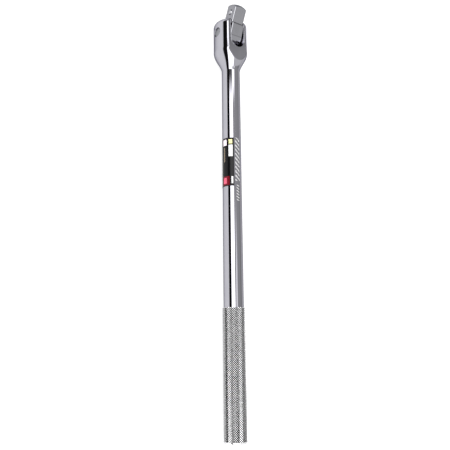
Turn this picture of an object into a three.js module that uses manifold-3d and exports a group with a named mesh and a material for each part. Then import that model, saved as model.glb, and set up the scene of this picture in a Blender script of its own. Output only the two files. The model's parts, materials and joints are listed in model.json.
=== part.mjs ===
// Breaker bar: a forged handle with a fork at one end and a hinged 1/2 inch square drive.
// Millimetres, +Z up. The bar lies along Y with its head toward +Y, and the pivot runs along X.
import * as THREE from 'three';
import { mergeVertices } from 'three/addons/utils/BufferGeometryUtils.js';
import Module from 'manifold-3d';

const wasm = await Module();
wasm.setup();

// Places along Y are counted from the pivot, toward the head.
const gripEnd = -354.5;
const gripStart = -247;
const gripRadius = 9.7;
const gripEndRound = 1.8;
const gripShoulder = 0.8;
const shankRadiusAtGrip = 8.53;
const shankRadiusAtFork = 8.12;

// Fork, turned round with the shank and then milled flat above and below
const flareEnd = -35.5;
const flareStart = -17;
const earEnd = 11.8;
const earEndRound = 4.6;
const forkRadius = 15.2;
const flatHeight = 11.4;
const slotWidth = 14.15;
const slotBottom = -14.2;

// Hinged head, along its own axis from the pivot
const headTilt = THREE.MathUtils.degToRad(26);
const tongueThickness = 13;
const tongueRadius = 9.6;
const tongueBevel = 0.7;
const shoulderHeight = 12.2;
const shoulderHalfDepth = 8.7;
const shoulderCut = 1;
const squareSide = 12.7;
const squareEnd = 28.2;
const squareCornerCut = 1.1;
const crownRadius = 14;
const crownFlatRadius = 2.9;

// Pivot pin
const pinRadius = 4;
const pinLength = 28.2;
const pinChamfer = 0.5;
const pinClearance = 0.1;

// Ball that holds a socket, in the square's -X face
const detentHeight = 20.4;
const detentBallRadius = 2;
const detentProtrusion = 1;
const detentBoreDepth = 9.6;
const detentRimRadius = 2.6;
const detentRimDepth = 0.5;

// Ball that drags on the fork's +X ear, so that the head stays where it is put
const frictionBallRadius = 1.2;
const frictionBallFromPivot = 6.2;
const frictionBoreDepth = 6;
const frictionBallGap = 0.15;

const ballClearance = 0.1;
const springGap = 0.1;
const detentWire = { radius: 0.25, turns: 5 };
const frictionWire = { radius: 0.17, turns: 5 };
const springStepsPerTurn = 12;

// Vinyl label round the shank
const labelStart = -143;
const labelEnd = -99.7;
const labelFirstAngle = 24;
const labelWrapAngle = 170;
const labelGap = 0.1;
const labelThickness = 0.15;

// How finely round surfaces are faceted
const handleSides = 48;
const roundSides = 48;
const ballSides = 24;
const ballRings = 16;
const labelSides = 32;
const slotSides = 20;
const heelSides = 28;
const wireSides = 3;
const edgeSteps = 6;
const flareSteps = 12;
const crownSteps = 8;

// How far a cut reaches past what it cuts, and how close corners are that become one
const cutMargin = 5;
const mergeDistance = 1e-4;

const chrome = { color: 0xc9cacf, roughness: 0.12, metalness: 1 };
const steel = { color: 0x9a9ca0, roughness: 0.3, metalness: 1 };
const springSteel = { color: 0x6f7073, roughness: 0.35, metalness: 1 };
const blackVinyl = { color: 0x16171a, roughness: 0.35, metalness: 0 };

// A closed geometry as a manifold solid, with its seams merged and its slivers left out
function solidOf(geometry) {
  const bare = geometry.clone();
  bare.deleteAttribute('normal');
  bare.deleteAttribute('uv');
  const merged = mergeVertices(bare, mergeDistance);
  const corners = merged.index.array;
  const triVerts = [];
  for (let i = 0; i < corners.length; i += 3) {
    const [a, b, c] = corners.slice(i, i + 3);
    if (a !== b && b !== c && c !== a) {
      triVerts.push(a, b, c);
    }
  }
  const vertProperties = merged.attributes.position.array;
  const mesh = new wasm.Mesh({ numProp: 3, vertProperties, triVerts: new Uint32Array(triVerts) });
  return new wasm.Manifold(mesh);
}

function geometryOf(solid) {
  const mesh = solid.getMesh();
  const geometry = new THREE.BufferGeometry();
  geometry.setAttribute('position', new THREE.BufferAttribute(mesh.vertProperties, 3));
  geometry.setIndex(new THREE.BufferAttribute(mesh.triVerts, 1));
  geometry.computeVertexNormals();
  return geometry;
}

function named(name, geometry, finish) {
  const mesh = new THREE.Mesh(geometry, new THREE.MeshStandardMaterial(finish));
  mesh.name = name;
  return mesh;
}

// A cylinder along X, from one x to another, whose first radius is at the lower x
function rodAlongX(fromX, toX, radiusLow, radiusHigh = radiusLow) {
  const rod = new THREE.CylinderGeometry(radiusLow, radiusHigh, toX - fromX, roundSides);
  rod.rotateZ(Math.PI / 2);
  rod.translate((fromX + toX) / 2, 0, 0);
  return rod;
}

// A coil spring along X
function springAlongX(fromX, toX, coilRadius, wire) {
  class Helix extends THREE.Curve {
    getPoint(t, target = new THREE.Vector3()) {
      const angle = t * wire.turns * 2 * Math.PI;
      const x = THREE.MathUtils.lerp(fromX + wire.radius, toX - wire.radius, t);
      return target.set(x, coilRadius * Math.cos(angle), coilRadius * Math.sin(angle));
    }
  }
  const section = new THREE.Shape();
  section.absarc(0, 0, wire.radius, 0, 2 * Math.PI);
  return new THREE.ExtrudeGeometry(section, {
    steps: wire.turns * springStepsPerTurn,
    curveSegments: wireSides,
    extrudePath: new Helix(),
  });
}

// How far a rounded edge has drawn in, at a distance past where its rounding starts
function roundInset(radius, past) {
  return radius - Math.sqrt(Math.max(radius ** 2 - Math.max(past, 0) ** 2, 0));
}

// Radius of the turned handle at y
function handleRadius(y) {
  if (y <= gripStart) {
    return gripRadius - roundInset(gripEndRound, gripEnd + gripEndRound - y);
  }
  const { smoothstep, mapLinear, lerp } = THREE.MathUtils;
  const shankPlace = Math.min(y, flareEnd);
  const shank = mapLinear(shankPlace, gripStart, flareEnd, shankRadiusAtGrip, shankRadiusAtFork);
  const body = lerp(shank, forkRadius, smoothstep(y, flareEnd, flareStart));
  return body - roundInset(earEndRound, y - (earEnd - earEndRound));
}

// Places along the handle where its radius is taken
function handleStations() {
  const stations = [];
  for (let i = 0; i <= edgeSteps; i += 1) {
    const angle = (i / edgeSteps) * (Math.PI / 2);
    stations.push(gripEnd + gripEndRound * (1 - Math.cos(angle)));
  }
  stations.push(gripStart, gripStart + gripShoulder);
  for (let i = 0; i <= flareSteps; i += 1) {
    stations.push(THREE.MathUtils.lerp(flareEnd, flareStart, i / flareSteps));
  }
  for (let i = 0; i <= edgeSteps; i += 1) {
    const angle = (i / edgeSteps) * (Math.PI / 2);
    stations.push(earEnd - earEndRound * (1 - Math.sin(angle)));
  }
  return stations;
}

function handleBlank() {
  const stations = handleStations();
  const profile = stations.map((y) => new THREE.Vector2(handleRadius(y), y));
  profile.unshift(new THREE.Vector2(0, stations[0]));
  profile.push(new THREE.Vector2(0, stations[stations.length - 1]));
  return solidOf(new THREE.LatheGeometry(profile, handleSides, Math.PI / handleSides));
}

// What the mill takes off above one flat; side = 1 is the upper one
function flatCut(side) {
  const width = 2 * (forkRadius + cutMargin);
  const height = forkRadius + cutMargin - flatHeight;
  const length = earEnd + cutMargin - flareEnd;
  const cut = new THREE.BoxGeometry(width, length, height);
  cut.translate(0, flareEnd + length / 2, side * (flatHeight + height / 2));
  return solidOf(cut);
}

function forkSlot() {
  const half = slotWidth / 2;
  const outline = new THREE.Shape();
  outline.moveTo(half, earEnd + cutMargin);
  outline.lineTo(-half, earEnd + cutMargin);
  outline.lineTo(-half, slotBottom + half);
  outline.absarc(0, slotBottom + half, half, Math.PI, 2 * Math.PI);
  outline.closePath();
  const depth = 2 * (forkRadius + cutMargin);
  const settings = { depth, bevelEnabled: false, curveSegments: slotSides };
  const slot = new THREE.ExtrudeGeometry(outline, settings);
  slot.translate(0, 0, -depth / 2);
  return solidOf(slot);
}

function handleBar() {
  const reach = forkRadius + cutMargin;
  const pinHole = solidOf(rodAlongX(-reach, reach, pinRadius + pinClearance));
  const cuts = flatCut(1).add(flatCut(-1)).add(forkSlot()).add(pinHole);
  return geometryOf(handleBlank().subtract(cuts));
}

// Side view of the tongue: a round heel whose sides lean in to the shoulder
function tongue() {
  const lean = Math.atan2(tongueRadius - shoulderHalfDepth, shoulderHeight);
  const outline = new THREE.Shape();
  outline.absarc(0, 0, tongueRadius, Math.PI - lean, 2 * Math.PI + lean);
  outline.lineTo(shoulderHalfDepth, shoulderHeight - shoulderCut);
  outline.lineTo(shoulderHalfDepth - shoulderCut, shoulderHeight);
  outline.lineTo(shoulderCut - shoulderHalfDepth, shoulderHeight);
  outline.lineTo(-shoulderHalfDepth, shoulderHeight - shoulderCut);
  outline.closePath();
  const plate = new THREE.ExtrudeGeometry(outline, {
    depth: tongueThickness - 2 * tongueBevel,
    curveSegments: heelSides,
    bevelThickness: tongueBevel,
    bevelSize: tongueBevel,
    bevelOffset: -tongueBevel,
    bevelSegments: 2,
  });
  plate.translate(0, 0, tongueBevel - tongueThickness / 2);
  plate.rotateY(Math.PI / 2);
  return solidOf(plate);
}

// The turned blank that crowns the square's tip
function crownBlank() {
  const reach = squareSide;
  const middle = squareEnd - Math.sqrt(crownRadius ** 2 - crownFlatRadius ** 2);
  const first = Math.acos(reach / crownRadius);
  const last = Math.acos(crownFlatRadius / crownRadius);
  const profile = [new THREE.Vector2(0, 0), new THREE.Vector2(reach, 0)];
  for (let i = 0; i <= crownSteps; i += 1) {
    const angle = THREE.MathUtils.lerp(first, last, i / crownSteps);
    const radius = crownRadius * Math.cos(angle);
    const height = middle + crownRadius * Math.sin(angle);
    profile.push(new THREE.Vector2(radius, height));
  }
  profile.push(new THREE.Vector2(0, squareEnd));
  return solidOf(new THREE.LatheGeometry(profile, roundSides));
}

// The square drive, with cut corners and a crowned tip
function squareDrive() {
  const half = squareSide / 2;
  const cut = half - squareCornerCut;
  const outline = new THREE.Shape();
  outline.moveTo(cut, -half);
  outline.lineTo(half, -cut);
  outline.lineTo(half, cut);
  outline.lineTo(cut, half);
  outline.lineTo(-cut, half);
  outline.lineTo(-half, cut);
  outline.lineTo(-half, -cut);
  outline.lineTo(-cut, -half);
  outline.closePath();
  const bar = new THREE.ExtrudeGeometry(outline, { depth: squareEnd + cutMargin, bevelEnabled: false });
  bar.rotateX(-Math.PI / 2);
  return solidOf(bar).intersect(crownBlank());
}

function driveHead() {
  const face = squareSide / 2;
  const side = tongueThickness / 2;
  const pinBore = solidOf(rodAlongX(-side - cutMargin, side + cutMargin, pinRadius + pinClearance));
  const detentBore = rodAlongX(-face - cutMargin, detentBoreDepth - face, detentBallRadius + ballClearance);
  const rimFrom = -face - detentRimDepth;
  const rimTo = detentRimDepth - face;
  const detentRim = rodAlongX(rimFrom, rimTo, detentRimRadius, detentBallRadius);
  const frictionRadius = frictionBallRadius + ballClearance;
  const frictionBore = rodAlongX(side - frictionBoreDepth, side + cutMargin, frictionRadius);
  detentBore.translate(0, detentHeight, 0);
  detentRim.translate(0, detentHeight, 0);
  frictionBore.translate(0, -frictionBallFromPivot, 0);
  const bores = pinBore.add(solidOf(detentBore)).add(solidOf(detentRim)).add(solidOf(frictionBore));
  return geometryOf(tongue().add(squareDrive()).subtract(bores));
}

function pivotPin() {
  const end = pinLength / 2;
  const profile = [
    new THREE.Vector2(0, -end),
    new THREE.Vector2(pinRadius - pinChamfer, -end),
    new THREE.Vector2(pinRadius, pinChamfer - end),
    new THREE.Vector2(pinRadius, end - pinChamfer),
    new THREE.Vector2(pinRadius - pinChamfer, end),
    new THREE.Vector2(0, end),
  ];
  const pin = new THREE.LatheGeometry(profile, roundSides);
  pin.rotateZ(-Math.PI / 2);
  return geometryOf(solidOf(pin));
}

function ball(radius) {
  return geometryOf(solidOf(new THREE.SphereGeometry(radius, ballSides, ballRings)));
}

function shankLabel() {
  const along = THREE.MathUtils.inverseLerp(gripStart, flareEnd, labelStart);
  const inner = THREE.MathUtils.lerp(shankRadiusAtGrip, shankRadiusAtFork, along) + labelGap;
  const first = THREE.MathUtils.degToRad(90 + labelFirstAngle);
  const last = first + THREE.MathUtils.degToRad(labelWrapAngle);
  const outline = new THREE.Shape();
  outline.absarc(0, 0, inner + labelThickness, first, last);
  outline.absarc(0, 0, inner, last, first, true);
  outline.closePath();
  const depth = labelEnd - labelStart;
  const settings = { depth, bevelEnabled: false, curveSegments: labelSides };
  const sheet = new THREE.ExtrudeGeometry(outline, settings);
  // The outline's x and y are the bar's x and z, so the sheet is turned to run along Y.
  sheet.rotateX(Math.PI / 2);
  sheet.translate(0, labelEnd, 0);
  return geometryOf(solidOf(sheet));
}

// The hinged head, along its own +Y, turned about the pivot to the angle that it rests at
function headGroup() {
  const head = new THREE.Group();
  head.rotation.x = headTilt;
  head.add(named('drive_head', driveHead(), chrome));

  const detentBall = named('socket_detent_ball', ball(detentBallRadius), steel);
  const detentX = detentBallRadius - detentProtrusion - squareSide / 2;
  detentBall.position.set(detentX, detentHeight, 0);
  const detentSpringFrom = detentX + detentBallRadius + springGap;
  const detentSpringTo = detentBoreDepth - squareSide / 2 - springGap;
  const detentCoil = detentBallRadius - detentWire.radius - springGap;
  const detentSpring = named(
    'socket_detent_spring',
    springAlongX(detentSpringFrom, detentSpringTo, detentCoil, detentWire),
    springSteel,
  );
  detentSpring.position.y = detentHeight;

  const frictionBall = named('friction_ball', ball(frictionBallRadius), steel);
  const frictionX = slotWidth / 2 - frictionBallGap - frictionBallRadius;
  frictionBall.position.set(frictionX, -frictionBallFromPivot, 0);
  const frictionSpring = named(
    'friction_spring',
    springAlongX(
      tongueThickness / 2 - frictionBoreDepth + springGap,
      frictionX - frictionBallRadius - springGap,
      frictionBallRadius - frictionWire.radius - springGap,
      frictionWire,
    ),
    springSteel,
  );
  frictionSpring.position.y = -frictionBallFromPivot;

  head.add(detentBall, detentSpring, frictionBall, frictionSpring);
  return head;
}

const breakerBar = new THREE.Group();
breakerBar.add(named('handle_bar', handleBar(), chrome));
breakerBar.add(named('pivot_pin', pivotPin(), steel));
breakerBar.add(named('shank_label', shankLabel(), blackVinyl));
breakerBar.add(headGroup());

// The origin is under the middle of the bar, on the surface that the grip lies on.
const box = new THREE.Box3().setFromObject(breakerBar, true);
const middle = box.getCenter(new THREE.Vector3());
breakerBar.position.set(0, -middle.y, -box.min.z);

export default breakerBar;
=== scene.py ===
import json
import math

import bmesh
import bpy
import numpy as np
from mathutils import Matrix, Vector


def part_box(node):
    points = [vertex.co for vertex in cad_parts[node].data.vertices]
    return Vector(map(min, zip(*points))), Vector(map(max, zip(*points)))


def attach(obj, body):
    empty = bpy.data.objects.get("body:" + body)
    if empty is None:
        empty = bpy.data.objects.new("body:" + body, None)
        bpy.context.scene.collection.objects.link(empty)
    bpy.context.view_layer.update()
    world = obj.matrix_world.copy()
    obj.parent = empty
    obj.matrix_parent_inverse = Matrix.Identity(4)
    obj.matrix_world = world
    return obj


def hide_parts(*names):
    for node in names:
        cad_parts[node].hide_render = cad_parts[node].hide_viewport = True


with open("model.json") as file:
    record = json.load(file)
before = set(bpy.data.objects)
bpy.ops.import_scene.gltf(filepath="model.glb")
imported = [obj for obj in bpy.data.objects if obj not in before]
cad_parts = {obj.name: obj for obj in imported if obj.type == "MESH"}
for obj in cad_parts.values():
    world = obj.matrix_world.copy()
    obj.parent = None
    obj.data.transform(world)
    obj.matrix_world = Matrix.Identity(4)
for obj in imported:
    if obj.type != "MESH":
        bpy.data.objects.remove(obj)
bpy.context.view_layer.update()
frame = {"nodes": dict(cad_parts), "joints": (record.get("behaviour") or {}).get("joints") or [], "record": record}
scene = bpy.context.scene
mm = 0.001
weldDistance = 0.002 * mm

# Where things are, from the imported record
pivot = Vector(frame["joints"][0]["pos_m"])
mounts = {mount["name"]: mount for mount in frame["record"]["mounts"]}
headAxis = Vector(mounts["square_tip"]["axis"])
headTilt = math.atan2(headAxis.z, headAxis.y)
# millimetres from the pivot, as all the sizes below
gripEndY = (mounts["grip_end"]["pos_m"][1] - pivot.y) / mm


def toLinear(hexColor):
    shares = [int(hexColor[i:i + 2], 16) / 255 for i in (1, 3, 5)]
    return [s / 12.92 if s <= 0.04045 else ((s + 0.055) / 1.055) ** 2.4 for s in shares] + [1.0]


def addNode(tree, kind, links=None, **settings):
    node = tree.nodes.new(kind)
    for name, value in settings.items():
        setattr(node, name, value)
    for socket, value in (links or {}).items():
        if isinstance(value, bpy.types.NodeSocket):
            tree.links.new(value, node.inputs[socket])
        else:
            node.inputs[socket].default_value = value
    return node


def addMath(tree, operation, *values):
    return addNode(tree, "ShaderNodeMath", dict(enumerate(values)), operation=operation).outputs[0]


def newMaterial(name):
    material = bpy.data.materials.new(name)
    material.use_nodes = True
    tree = material.node_tree
    return material, tree, tree.nodes["Principled BSDF"]


def addPiece(name, mesh, material, body, node=None):
    mesh.name = name
    mesh.materials.clear()
    mesh.materials.append(material)
    piece = bpy.data.objects.new(name, mesh)
    scene.collection.objects.link(piece)
    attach(piece, body)
    if node:
        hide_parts(node)
    print("made", name, "with", len(mesh.polygons), "faces")
    return piece


def meshOf(bm, smooth=True):
    mesh = bpy.data.meshes.new("made")
    for face in bm.faces:
        face.smooth = smooth
    bm.to_mesh(mesh)
    bm.free()
    return mesh


def withModifiers(mesh, addModifiers):
    worker = bpy.data.objects.new("worker", mesh)
    scene.collection.objects.link(worker)
    addModifiers(worker)
    bpy.context.view_layer.update()
    graph = bpy.context.evaluated_depsgraph_get()
    done = bpy.data.meshes.new_from_object(worker.evaluated_get(graph))
    bpy.data.objects.remove(worker)
    return done


def mergedCopy(node):
    bm = bmesh.new()
    bm.from_mesh(frame["nodes"][node].data)
    bmesh.ops.remove_doubles(bm, verts=bm.verts, dist=weldDistance)
    return bm


# The two forgings are described by how far a point is from their surface, negative inside.

def smoothStep(x, low, high):
    t = np.clip((x - low) / (high - low), 0, 1)
    return t * t * (3 - 2 * t)


def cutWith(a, b, radius):
    # what is inside both a and b, with the edge between them rounded
    u = np.maximum(a + radius, 0)
    v = np.maximum(b + radius, 0)
    return np.minimum(np.maximum(a, b), -radius) + np.hypot(u, v)


def joinWith(a, b, radius):
    return -cutWith(-a, -b, radius)


def roundedSquare(x, z, half, corner):
    qx = np.abs(x) - (half - corner)
    qz = np.abs(z) - (half - corner)
    outside = np.hypot(np.maximum(qx, 0), np.maximum(qz, 0))
    return outside + np.minimum(np.maximum(qx, qz), 0) - corner


def slopeOf(distance, p):
    step = 0.01  # millimetres
    slope = np.empty_like(p)
    for k in range(3):
        offset = np.zeros(3)
        offset[k] = step
        slope[:, k] = (distance(p + offset) - distance(p - offset)) / (2 * step)
    return slope


settling = dict(rounds=4, leastSlope=0.2, longestMove=0.3, smoothing=3)


def settle(bm, distance):
    # draws every point onto the surface, at most a little way at a time
    p = np.array([v.co - pivot for v in bm.verts]) / mm
    for _ in range(settling["rounds"]):
        slope = slopeOf(distance, p)
        steep = np.maximum((slope ** 2).sum(1), settling["leastSlope"] ** 2)
        move = (distance(p) / steep)[:, None] * slope
        length = np.linalg.norm(move, axis=1, keepdims=True)
        p = p - move * np.minimum(1, settling["longestMove"] / np.maximum(length, 1e-9))
    for v, place in zip(bm.verts, p):
        v.co = pivot + Vector(place) * mm


def evenSkin(bm, cell, distance):
    # the solid under an even skin of small faces, which then settles on the exact surface
    mesh = meshOf(bm)

    def addRemesh(worker):
        modifier = worker.modifiers.new("skin", "REMESH")
        modifier.mode = "VOXEL"
        modifier.voxel_size = cell * mm

    bm = bmesh.new()
    bm.from_mesh(withModifiers(mesh, addRemesh))
    for _ in range(settling["smoothing"]):
        bmesh.ops.smooth_vert(bm, verts=bm.verts, factor=0.5,
                              use_axis_x=True, use_axis_y=True, use_axis_z=True)
        settle(bm, distance)
    return bm


def setExactNormals(mesh, distance):
    # a mirror finish shows every ripple, so the shading follows the exact surface and not the faces
    p = (np.array([v.co for v in mesh.vertices]) - np.array(pivot)) / mm
    slope = slopeOf(distance, p)
    slope /= np.linalg.norm(slope, axis=1, keepdims=True)
    mesh.normals_split_custom_set_from_vertices([Vector(n) for n in slope])


# The fork is remeshed; the shank past the cut is drawn out of its rim, and ends inside the grip.
forging = dict(
    earEnd=11.8, earEndRound=4.6, forkRadius=15.2, flareStart=-17.0, flareEnd=-35.5,
    flatHeight=11.4, flatEdge=0.5,
    slotWidth=14.15, slotBottom=-14.2, slotEdge=0.5, pinHole=4.15, pinHoleEdge=0.35,
    shankAtFork=8.12, shankAtGrip=8.53, gripStart=-247.0,
    cut=-42.0, shankSteps=24, intoGrip=1.5, cell=0.4)


def shankRadius(y):
    f = forging
    share = np.clip((y - f["gripStart"]) / (f["flareEnd"] - f["gripStart"]), 0, 1)
    return f["shankAtGrip"] + (f["shankAtFork"] - f["shankAtGrip"]) * share


def forgingDistance(p):
    # turned round, then milled flat above and below, slotted and drilled
    f = forging
    x, y, z = p.T
    shank = shankRadius(y)
    radius = shank + (f["forkRadius"] - shank) * smoothStep(y, f["flareEnd"], f["flareStart"])
    body = cutWith(np.hypot(x, z) - radius, y - f["earEnd"], f["earEndRound"])
    body = cutWith(body, np.abs(z) - f["flatHeight"], f["flatEdge"])
    half = f["slotWidth"] / 2
    middle = f["slotBottom"] + half
    slot = np.where(y > middle, np.abs(x), np.hypot(x, y - middle)) - half
    body = cutWith(body, -slot, f["slotEdge"])
    return cutWith(body, f["pinHole"] - np.hypot(y, z), f["pinHoleEdge"])


def forgedHandle():
    f = forging
    bm = mergedCopy("handle_bar")
    everything = bm.verts[:] + bm.edges[:] + bm.faces[:]
    cutPlace = pivot + Vector((0, f["cut"] * mm, 0))
    bmesh.ops.bisect_plane(bm, geom=everything, plane_co=cutPlace, plane_no=(0, 1, 0),
                           clear_inner=True)
    bmesh.ops.contextual_create(bm, geom=[e for e in bm.edges if e.is_boundary])
    bm = evenSkin(bm, f["cell"], forgingDistance)

    # open the end of the fork piece, and draw the round shank out of its rim
    openY = pivot.y + (f["cut"] + 2 * f["cell"]) * mm
    everything = bm.verts[:] + bm.edges[:] + bm.faces[:]
    bmesh.ops.bisect_plane(bm, geom=everything, plane_co=(0, openY, 0), plane_no=(0, 1, 0),
                           clear_inner=True)
    rim = [e for e in bm.edges if e.is_boundary]
    start = (openY - pivot.y) / mm
    end = f["gripStart"] - f["intoGrip"]
    for step in range(1, f["shankSteps"] + 1):
        y = start + (end - start) * step / f["shankSteps"]
        made = bmesh.ops.extrude_edge_only(bm, edges=rim)["geom"]
        rim = [e for e in made if isinstance(e, bmesh.types.BMEdge) and e.is_boundary]
        for v in {v for e in rim for v in e.verts}:
            v.co.y = pivot.y + y * mm
    for v in bm.verts:
        y = (v.co.y - pivot.y) / mm
        if y <= start + 0.01:
            around = math.atan2(v.co.z - pivot.z, v.co.x)
            radius = float(shankRadius(y)) * mm
            v.co.x = radius * math.cos(around)
            v.co.z = pivot.z + radius * math.sin(around)
    bmesh.ops.contextual_create(bm, geom=rim)
    bmesh.ops.recalc_face_normals(bm, faces=bm.faces)
    mesh = meshOf(bm)
    setExactNormals(mesh, forgingDistance)
    return mesh


# knurlAcross is how many ridges run each way round the grip
grip = dict(
    radius=9.7, pastStart=0.3, lip=0.2, shankGap=0.03, lipBack=0.05, endRound=1.8, endRoundSteps=5,
    knurlAcross=34, knurlDepth=0.45, knurlFlat=0.2, plainAtEnd=1.9, endFlat=7.0)


def gripOutline(knurlFrom, knurlTo, rows):
    # radius and place of every ring of the grip, from the middle of its end face to where the shank goes in
    g = grip
    start = forging["gripStart"]
    outline = [(0.0, gripEndY), (g["endFlat"], gripEndY)]
    for i in range(g["endRoundSteps"] + 1):
        angle = i / g["endRoundSteps"] * math.pi / 2
        radius = g["radius"] - g["endRound"] * (1 - math.sin(angle))
        outline.append((radius, gripEndY + g["endRound"] * (1 - math.cos(angle))))
    outline += [(g["radius"], knurlFrom + (knurlTo - knurlFrom) * j / rows) for j in range(rows + 1)]
    lip = knurlTo + g["lip"]
    outline.append((g["radius"] - g["lip"], lip))
    outline.append((float(shankRadius(lip)) + g["shankGap"], lip + g["lipBack"]))
    outline.append((g["endFlat"], start))
    outline.append((0.0, start))
    return outline


def knurledGrip():
    g = grip
    columns = 2 * g["knurlAcross"]
    pitch = 2 * math.pi * g["radius"] / columns
    knurlFrom = gripEndY + g["plainAtEnd"]
    knurlTo = forging["gripStart"] + g["pastStart"]
    rows = 2 * round((knurlTo - knurlFrom) / pitch / 2)
    bm = bmesh.new()
    outline = gripOutline(knurlFrom, knurlTo, rows)
    points = [bm.verts.new((r * mm, pivot.y + y * mm, pivot.z)) for r, y in outline]
    line = [bm.edges.new(pair) for pair in zip(points, points[1:])]
    bmesh.ops.spin(bm, geom=points + line, cent=pivot, axis=(0, 1, 0), angle=2 * math.pi,
                   steps=columns, use_merge=True)
    bmesh.ops.remove_doubles(bm, verts=bm.verts, dist=0.01 * mm)
    bmesh.ops.recalc_face_normals(bm, faces=bm.faces)

    def rowOf(v):
        return ((v.co.y - pivot.y) / mm - knurlFrom) / (knurlTo - knurlFrom) * rows

    def isKnurl(v):
        radius = math.hypot(v.co.x, v.co.z - pivot.z) / mm
        return radius > g["radius"] - 0.01 and -0.01 < rowOf(v) < rows + 0.01

    def isValley(v):
        column = math.atan2(v.co.z - pivot.z, v.co.x) / math.pi * g["knurlAcross"]
        return (round(column) + round(rowOf(v))) % 2 == 0

    # every small square folds along one diagonal, and every other corner sinks
    knurled = [f for f in bm.faces if all(isKnurl(v) for v in f.verts)]
    valleys = {v for f in knurled for v in f.verts if isValley(v)}
    for face in knurled:
        low = [v for v in face.verts if v in valleys]
        bmesh.utils.face_split(face, low[0], low[1])
    for v in valleys:
        share = 1 - g["knurlDepth"] / g["radius"]
        v.co.x *= share
        v.co.z = pivot.z + (v.co.z - pivot.z) * share
    peaks = [v for v in bm.verts if isKnurl(v) and v not in valleys and 0.5 < rowOf(v) < rows - 0.5]
    bmesh.ops.bevel(bm, geom=peaks, offset=g["knurlFlat"] * mm, offset_type="OFFSET",
                    affect="VERTICES", segments=1, profile=0.5, material=-1)
    return meshOf(bm, smooth=False)


# Along the head's own axis from the pivot; the socket ball's bore is in the -X face.
drive = dict(
    tongueHalf=6.5, tongueRadius=9.6, tongueEdge=0.9, shoulder=12.2, shoulderHalf=8.7, shoulderRound=1.0,
    side=12.7, squareCorner=1.15, tip=28.2, crownRadius=14.0, crownFlat=2.9, tipEdge=0.35,
    shoulderFillet=0.5,
    pinBore=4.1, boreEdge=0.35, detentHeight=20.4, detentBore=2.1, detentDepth=9.6, rimRadius=2.6,
    rimDepth=0.55, rimEdge=0.12, dragHeight=-6.2, dragBore=1.3, dragDepth=6.0, cell=0.35)


def driveDistance(p):
    # x runs along the pin, s along the head and q across it
    d = drive
    unturn = np.array(Matrix.Rotation(-headTilt, 3, "X"))
    x, s, q = (p @ unturn.T).T
    lean = (d["tongueRadius"] - d["shoulderHalf"]) / d["shoulder"]
    side = np.abs(q) - (d["tongueRadius"] - lean * s)
    block = np.maximum(cutWith(side, s - d["shoulder"], d["shoulderRound"]), -s)
    outline = np.minimum(np.hypot(s, q) - d["tongueRadius"], block)
    tongue = cutWith(outline, np.abs(x) - d["tongueHalf"], d["tongueEdge"])
    face = d["side"] / 2
    square = roundedSquare(x, q, face, d["squareCorner"])
    middle = d["tip"] - math.sqrt(d["crownRadius"] ** 2 - d["crownFlat"] ** 2)
    crown = np.sqrt(x ** 2 + q ** 2 + (s - middle) ** 2) - d["crownRadius"]
    square = cutWith(square, crown, d["tipEdge"])
    square = np.maximum(cutWith(square, s - d["tip"], d["tipEdge"]), -s)
    head = joinWith(tongue, square, d["shoulderFillet"])
    head = cutWith(head, d["pinBore"] - np.hypot(s, q), d["boreEdge"])
    fromDetent = np.hypot(s - d["detentHeight"], q)
    bore = np.maximum(fromDetent - d["detentBore"], x - (d["detentDepth"] - face))
    rim = fromDetent - (d["rimRadius"] - (x + face) * (d["rimRadius"] - d["detentBore"]) / d["rimDepth"])
    rim = np.maximum(rim, x + face - d["rimDepth"])
    head = cutWith(head, -np.minimum(bore, rim), d["rimEdge"])
    dragFloor = d["tongueHalf"] - d["dragDepth"]
    drag = np.maximum(np.hypot(s - d["dragHeight"], q) - d["dragBore"], dragFloor - x)
    return cutWith(head, -drag, d["rimEdge"])


def hingedHead():
    bm = evenSkin(mergedCopy("drive_head"), drive["cell"], driveDistance)
    mesh = meshOf(bm)
    setExactNormals(mesh, driveDistance)
    return mesh


pin = dict(radius=4.05, halfLength=14.1, chamfer=0.5, chamferSteps=4, segments=96)


def pivotPin():
    bm = bmesh.new()
    turn = Matrix.Translation(pivot) @ Matrix.Rotation(math.pi / 2, 4, "Y")
    bmesh.ops.create_cone(bm, cap_ends=True, segments=pin["segments"], radius1=pin["radius"] * mm,
                          radius2=pin["radius"] * mm, depth=2 * pin["halfLength"] * mm, matrix=turn)
    rims = [e for e in bm.edges if any(len(f.verts) > 4 for f in e.link_faces)]
    bmesh.ops.bevel(bm, geom=rims, offset=pin["chamfer"] * mm, offset_type="OFFSET",
                    affect="EDGES", segments=pin["chamferSteps"], profile=0.5, material=-1)
    return meshOf(bm)


ball = dict(segments=64, rings=32)


def detentBall():
    low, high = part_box("socket_detent_ball")
    bm = bmesh.new()
    bmesh.ops.create_uvsphere(bm, u_segments=ball["segments"], v_segments=ball["rings"],
                              radius=(high.x - low.x) / 2,
                              matrix=Matrix.Translation((low + high) / 2))
    return meshOf(bm)


# firstAngle and wrap are degrees round the shank, counted from straight up
label = dict(
    start=-143.0, end=-99.7, firstAngle=24.0, wrap=170.0, gap=0.05, thickness=0.12,
    columns=56, rows=24)


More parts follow.
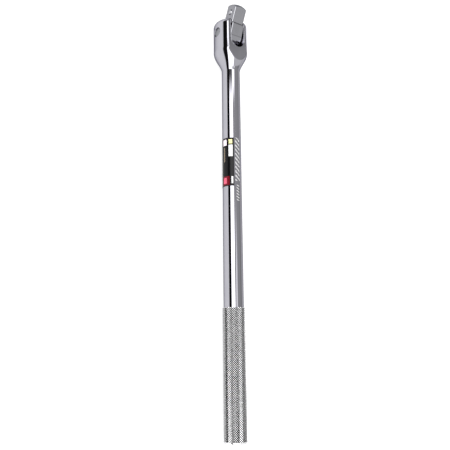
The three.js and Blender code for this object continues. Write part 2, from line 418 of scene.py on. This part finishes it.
def shankLabel():
    # a flat sheet bent round the shank; u runs round it from its front edge, v along it toward the head
    b = label
    bm = bmesh.new()
    uv = bm.loops.layers.uv.new("print")
    bmesh.ops.create_grid(bm, x_segments=b["columns"], y_segments=b["rows"], size=0.5)
    for face in bm.faces:
        for loop in face.loops:
            loop[uv].uv = (loop.vert.co.x + 0.5, loop.vert.co.y + 0.5)
    for v in bm.verts:
        angle = math.radians(90 + b["firstAngle"] + b["wrap"] * (v.co.x + 0.5))
        y = b["start"] + (b["end"] - b["start"]) * (v.co.y + 0.5)
        radius = (float(shankRadius(y)) + b["gap"]) * mm
        v.co = pivot + Vector((radius * math.cos(angle), y * mm, radius * math.sin(angle)))
    bmesh.ops.recalc_face_normals(bm, faces=bm.faces)
    face = bm.faces[0]
    outward = face.calc_center_median() - pivot
    outward.y = 0
    if face.normal.dot(outward) < 0:
        bmesh.ops.reverse_faces(bm, faces=bm.faces)
    bmesh.ops.solidify(bm, geom=bm.faces, thickness=-b["thickness"] * mm)
    return meshOf(bm)


# Marks are repeats per metre; the plate's edgeTint is how it darkens toward its outlines.
plate = dict(edgeTint="#7c7c84", wipes=(260.0, 22.0, 260.0), clouds=90.0)


def chromeFinish(name, roughness, smudge, tints):
    # decorative chrome plate: a cool grey mirror, with faint wiping marks that soften the reflection
    material, tree, shader = newMaterial(name)
    shader.inputs["Metallic"].default_value = 1.0
    shader.inputs["Specular Tint"].default_value = toLinear(plate["edgeTint"])
    place = addNode(tree, "ShaderNodeTexCoord").outputs["Object"]
    wipes = addNode(tree, "ShaderNodeMapping", {"Vector": place, "Scale": plate["wipes"]}).outputs[0]
    noise = addNode(tree, "ShaderNodeTexNoise", {"Vector": wipes, "Scale": 1.0, "Detail": 5.0})
    spread = {"Value": noise.outputs["Fac"], "From Min": 0.35, "From Max": 0.75,
              "To Min": roughness, "To Max": roughness + smudge}
    rough = addNode(tree, "ShaderNodeMapRange", spread).outputs[0]
    tree.links.new(rough, shader.inputs["Roughness"])
    clouds = {"Vector": place, "Scale": plate["clouds"], "Detail": 3.0}
    cloud = addNode(tree, "ShaderNodeTexNoise", clouds).outputs["Fac"]
    shades = {"Factor": cloud, "A": toLinear(tints[0]), "B": toLinear(tints[1])}
    tint = addNode(tree, "ShaderNodeMix", shades, data_type="RGBA").outputs["Result"]
    tree.links.new(tint, shader.inputs["Base Color"])
    return material, tree, shader, place, tint


# Two rows of slanted strokes on the top of the shank: start, end, pitch and slant are millimetres,
# middle and halfWidth degrees round it, and share is how much of the pitch a stroke takes.
etching = [
    dict(start=-138.5, end=-99.5, middle=0.0, halfWidth=15.0, pitch=3.9, slant=8.0, share=0.42),
    dict(start=-156.0, end=-142.0, middle=0.0, halfWidth=9.0, pitch=2.6, slant=5.0, share=0.42),
]
etched = dict(color="#fafafa", depth=0.4, roughness=0.4)


def etchedChrome():
    # the same plate, with slanted hatching etched into it behind the head: matt and slightly sunken
    material, tree, shader, place, tint = chromeFinish("polishedChrome", 0.04, 0.05, ("#a9a8b0", "#b1b0b6"))
    axes = addNode(tree, "ShaderNodeSeparateXYZ", {"Vector": place}).outputs
    height = addMath(tree, "SUBTRACT", axes["Z"], pivot.z)
    around = addMath(tree, "ARCTAN2", axes["X"], height)
    fromPivot = addMath(tree, "SUBTRACT", axes["Y"], pivot.y)

    def strokes(mark):
        slant = addMath(tree, "MULTIPLY_ADD", around, mark["slant"] * mm, fromPivot)
        wave = addMath(tree, "FRACT", addMath(tree, "DIVIDE", slant, mark["pitch"] * mm))
        middle = addMath(tree, "DIVIDE", fromPivot, mm)
        rowMiddle = (mark["start"] + mark["end"]) / 2
        inRow = addMath(tree, "COMPARE", middle, rowMiddle, (mark["end"] - mark["start"]) / 2)
        halfWidth = math.radians(mark["halfWidth"])
        inWidth = addMath(tree, "COMPARE", around, math.radians(mark["middle"]), halfWidth)
        line = addMath(tree, "LESS_THAN", wave, mark["share"])
        return addMath(tree, "MULTIPLY", line, addMath(tree, "MULTIPLY", inRow, inWidth))

    mask = addMath(tree, "MAXIMUM", *(strokes(mark) for mark in etching))
    sunken = {"Height": mask, "Strength": 1.0, "Distance": etched["depth"] * mm}
    bump = addNode(tree, "ShaderNodeBump", sunken, invert=True)
    tree.links.new(bump.outputs[0], shader.inputs["Normal"])
    frosted = {"Factor": mask, "A": tint, "B": toLinear(etched["color"])}
    pale = addNode(tree, "ShaderNodeMix", frosted, data_type="RGBA")
    tree.links.new(pale.outputs["Result"], shader.inputs["Base Color"])
    plain = shader.inputs["Roughness"].links[0].from_socket
    rougher = {"Factor": mask, "A": plain, "B": etched["roughness"]}
    matt = addNode(tree, "ShaderNodeMix", rougher, data_type="FLOAT")
    tree.links.new(matt.outputs["Result"], shader.inputs["Roughness"])
    return material


# shares of the knurl's depth: the dirt and painted shade in its valleys begin below the first and are full below
# the second
knurlDirtAndShade = dict(color="#101013", plainAbove=0.36, darkestBelow=0.8)


def knurledFinish():
    # the grip's plate, with old dirt and painted shade darkening the bottoms of the knurling
    material, tree, shader, place, tint = chromeFinish("knurledChrome", 0.12, 0.1, ("#fafafc", "#ffffff"))
    axes = addNode(tree, "ShaderNodeSeparateXYZ", {"Vector": place}).outputs
    height = addMath(tree, "SUBTRACT", axes["Z"], pivot.z)
    squares = addMath(tree, "MULTIPLY_ADD", height, height, addMath(tree, "MULTIPLY", axes["X"], axes["X"]))
    radius = addMath(tree, "SQRT", squares)
    top = (grip["radius"] - knurlDirtAndShade["plainAbove"] * grip["knurlDepth"]) * mm
    low = (grip["radius"] - knurlDirtAndShade["darkestBelow"] * grip["knurlDepth"]) * mm
    depths = {"Value": radius, "From Min": low, "From Max": top}
    undarkened = addNode(tree, "ShaderNodeMapRange", depths).outputs[0]
    middle = pivot.y + (forging["gripStart"] + gripEndY + grip["plainAtEnd"]) / 2 * mm
    half = (forging["gripStart"] - gripEndY - grip["plainAtEnd"]) / 2 * mm
    knurled = addMath(tree, "COMPARE", axes["Y"], middle, half + grip["pastStart"] * mm)
    undarkened = addMath(tree, "MAXIMUM", undarkened, addMath(tree, "SUBTRACT", 1.0, knurled))
    # the valleys' colour is dirt and painted shade, going nearly black toward their bottoms
    shades = {"Factor": undarkened, "A": toLinear(knurlDirtAndShade["color"]), "B": tint}
    dirtAndShade = addNode(tree, "ShaderNodeMix", shades, data_type="RGBA")
    tree.links.new(dirtAndShade.outputs["Result"], shader.inputs["Base Color"])
    return material


# Colour, then left and right edge round the label and low and high edge along it, as shares
labelPatches = [
    ("#6a0f1c", 0.16, 0.45, 0.02, 0.2),
    # this pink patch inside the dark red one is a painted highlight, not print
    ("#e0607a", 0.27, 0.4, 0.05, 0.17),
    ("#f0f0f0", 0.035, 0.092, 0.05, 0.19),
    ("#f0f0f0", 0.045, 0.185, 0.61, 0.85),
    ("#ece9a6", 0.055, 0.18, 0.875, 0.965),
    ("#efe0ea", 0.26, 0.42, 0.84, 0.965),
    ("#9c8c78", 0.34, 0.37, 0.5, 0.8),
]


def printedVinylWithHighlight():
    # glossy black vinyl film, printed with plain patches of colour, and a painted highlight on its red patch
    material, tree, shader = newMaterial("printedVinylWithHighlight")
    shader.inputs["Roughness"].default_value = 0.22
    shader.inputs["Specular IOR Level"].default_value = 0.2
    flat = addNode(tree, "ShaderNodeUVMap", uv_map="print").outputs[0]
    sides = addNode(tree, "ShaderNodeSeparateXYZ", {"Vector": flat}).outputs
    color = toLinear("#08080a")

    def patch(color, fill, left, right, low, high):
        inside = 1.0
        for value, edges in ((sides["X"], (left, right)), (sides["Y"], (low, high))):
            over = addMath(tree, "GREATER_THAN", value, edges[0])
            under = addMath(tree, "LESS_THAN", value, edges[1])
            inside = addMath(tree, "MULTIPLY", inside, addMath(tree, "MULTIPLY", over, under))
        mix = addNode(tree, "ShaderNodeMix", {"Factor": inside, "A": color, "B": fill}, data_type="RGBA")
        return mix.outputs["Result"]

    for fill, *place in labelPatches:
        color = patch(color, toLinear(fill), *place)
    tree.links.new(color, shader.inputs["Base Color"])
    return material


satinChrome = chromeFinish("satinChrome", 0.07, 0.1, ("#929297", "#9c9ca0"))[0]
groundSteel = chromeFinish("groundSteel", 0.2, 0.15, ("#8a8b8e", "#9a9b9e"))[0]
ballSteel = chromeFinish("ballSteel", 0.05, 0.05, ("#b4b4b8", "#bcbcc0"))[0]

addPiece("forgedHandle", forgedHandle(), etchedChrome(), "handle", "handle_bar")
addPiece("knurledGrip", knurledGrip(), knurledFinish(), "handle", "handle_bar")
addPiece("hingedHead", hingedHead(), satinChrome, "head", "drive_head")
addPiece("pivotPin", pivotPin(), groundSteel, "handle", "pivot_pin")
addPiece("socketBall", detentBall(), ballSteel, "socket_ball", "socket_detent_ball")
addPiece("printedLabel", shankLabel(), printedVinylWithHighlight(), "handle", "shank_label")

# the small inner pieces keep the shapes they have
for name in ("socket_detent_spring", "friction_ball", "friction_spring"):
    frame["nodes"][name].data.materials.clear()
    frame["nodes"][name].data.materials.append(groundSteel)
print("finished the inner pieces")


# a light table, which leaves hardly a shadow; halfSide and drop are metres
table = dict(halfSide=6.0, drop=0.0002, color="#a4a4a4", glow=0.72)


def addFloor():
    material, tree, shader = newMaterial("paleFloor")
    shader.inputs["Base Color"].default_value = toLinear(table["color"])
    shader.inputs["Roughness"].default_value = 0.9
    shader.inputs["Specular IOR Level"].default_value = 0.0
    shader.inputs["Emission Color"].default_value = toLinear("#ffffff")
    shader.inputs["Emission Strength"].default_value = table["glow"]
    bm = bmesh.new()
    bmesh.ops.create_grid(bm, x_segments=1, y_segments=1, size=table["halfSide"],
                          matrix=Matrix.Translation((0, 0, -table["drop"])))
    floor = bpy.data.objects.new("floor", meshOf(bm))
    floor.data.materials.append(material)
    scene.collection.objects.link(floor)


addFloor()
print("laid the floor")

# place and target are millimetres from the pivot, roll is degrees
camera = dict(
    place=(-293.28, -270.65, 396.38), target=(-8.16, -176.67, 0.0), roll=0.5907, lens=46.66,
    sensor=36.0)


def addCamera():
    data = bpy.data.cameras.new("camera")
    data.sensor_width = camera["sensor"]
    data.lens = camera["lens"]
    holder = bpy.data.objects.new("camera", data)
    scene.collection.objects.link(holder)
    eye = pivot + Vector(camera["place"]) * mm
    look = (pivot + Vector(camera["target"]) * mm - eye).normalized()
    right = look.cross(Vector((0, 1, 0))).normalized()
    turn = Matrix.Rotation(math.radians(camera["roll"]), 3, look)
    right = turn @ right
    up = right.cross(look)
    holder.matrix_world = Matrix((right, up, -look)).transposed().to_4x4()
    holder.location = eye
    scene.camera = holder


addCamera()
print("placed the camera")

world = bpy.data.worlds.new("studio")
scene.world = world
world.use_nodes = True
tree = world.node_tree
direction = addNode(tree, "ShaderNodeTexCoord").outputs["Generated"]
axes = addNode(tree, "ShaderNodeSeparateXYZ", {"Vector": direction}).outputs
angle = addMath(tree, "ARCTAN2", axes["X"], axes["Z"])
turn = {"Value": angle, "From Min": -math.pi, "From Max": math.pi}
share = addNode(tree, "ShaderNodeMapRange", turn).outputs[0]
brightest = 4.0


def studioRamp(bands):
    # each band edge: degrees over from straight up toward +X, and how bright the studio is there
    ramp = addNode(tree, "ShaderNodeValToRGB", {"Fac": share})
    elements = ramp.color_ramp.elements
    elements.remove(elements[0])
    for degrees, value in bands[:-1]:
        elements.new((degrees + 180) / 360).color = [value / brightest] * 3 + [1.0]
    elements[len(elements) - 1].color = [bands[-1][1] / brightest] * 3 + [1.0]
    return ramp.outputs["Color"]


def blendAlong(low, high, start, end):
    # one row of lamps gives way to the next along the bar
    span = {"Value": axes["Y"], "From Min": start, "From Max": end}
    along = addNode(tree, "ShaderNodeMapRange", span).outputs[0]
    ends = {"Factor": along, "A": low, "B": high}
    return addNode(tree, "ShaderNodeMix", ends, data_type="RGBA").outputs["Result"]


# The softbox, the black card and the grey wall, as the bar's polished side sees them
white = 3.6
black = 0.01
wall = [(74, 0.8), (100, 0.8), (180, 0.9)]
left = [(-180, 0.9), (-120, 1.0), (-93, 1.3), (-87, 1.3), (-85, black)]
softbox = left + [(-58, black), (-55, white), (-18, white)]
atGrip = softbox + [(-15, 0.1), (-9, 0.1), (-5, 1.5), (10, 1.5), (14, 0.5), (48, 0.5), (54, 0.38),
                    (68, 0.38)] + wall
atLabel = softbox + [(-15, 0.4), (-5, 0.55), (48, 0.5), (54, 0.45), (68, 0.5)] + wall
atFork = left + [(-50, black), (-46, 0.2), (-37, 0.2), (-33, 0.02), (-23, 0.02), (-18, white),
                 (6, white), (10, 0.5), (48, 0.5), (54, 0.45), (68, 0.5)] + wall
atHead = softbox + [(-12, 0.45), (20, 0.38), (47, 0.34), (52, white), (84, white), (90, 0.8),
                    (180, 0.9)]
nearEnd = left + [(-58, black), (-55, white), (-8, white), (-2, 0.95), (60, 0.95), (180, 1.0)]
light = blendAlong(studioRamp(nearEnd), studioRamp(atGrip), -0.13, -0.04)
light = blendAlong(light, studioRamp(atLabel), 0.12, 0.24)
light = blendAlong(light, studioRamp(atFork), 0.39, 0.43)
light = blendAlong(light, studioRamp(atHead), 0.46, 0.48)
farEnd = 0.4
light = blendAlong(light, [farEnd / brightest] * 3 + [1.0], 0.62, 0.72)
# just above the horizon all is pale, as the table is
horizon = dict(start=0.03, end=0.06, value=1.05)
span = {"Value": axes["Z"], "From Min": horizon["start"], "From Max": horizon["end"]}
rise = addNode(tree, "ShaderNodeMapRange", span).outputs[0]
pale = [horizon["value"] / brightest] * 3 + [1.0]
ends = {"Factor": rise, "A": pale, "B": light}
light = addNode(tree, "ShaderNodeMix", ends, data_type="RGBA").outputs["Result"]
tree.links.new(light, tree.nodes["Background"].inputs["Color"])
tree.nodes["Background"].inputs["Strength"].default_value = brightest
print("lit the studio")

scene.view_settings.view_transform = "Standard"
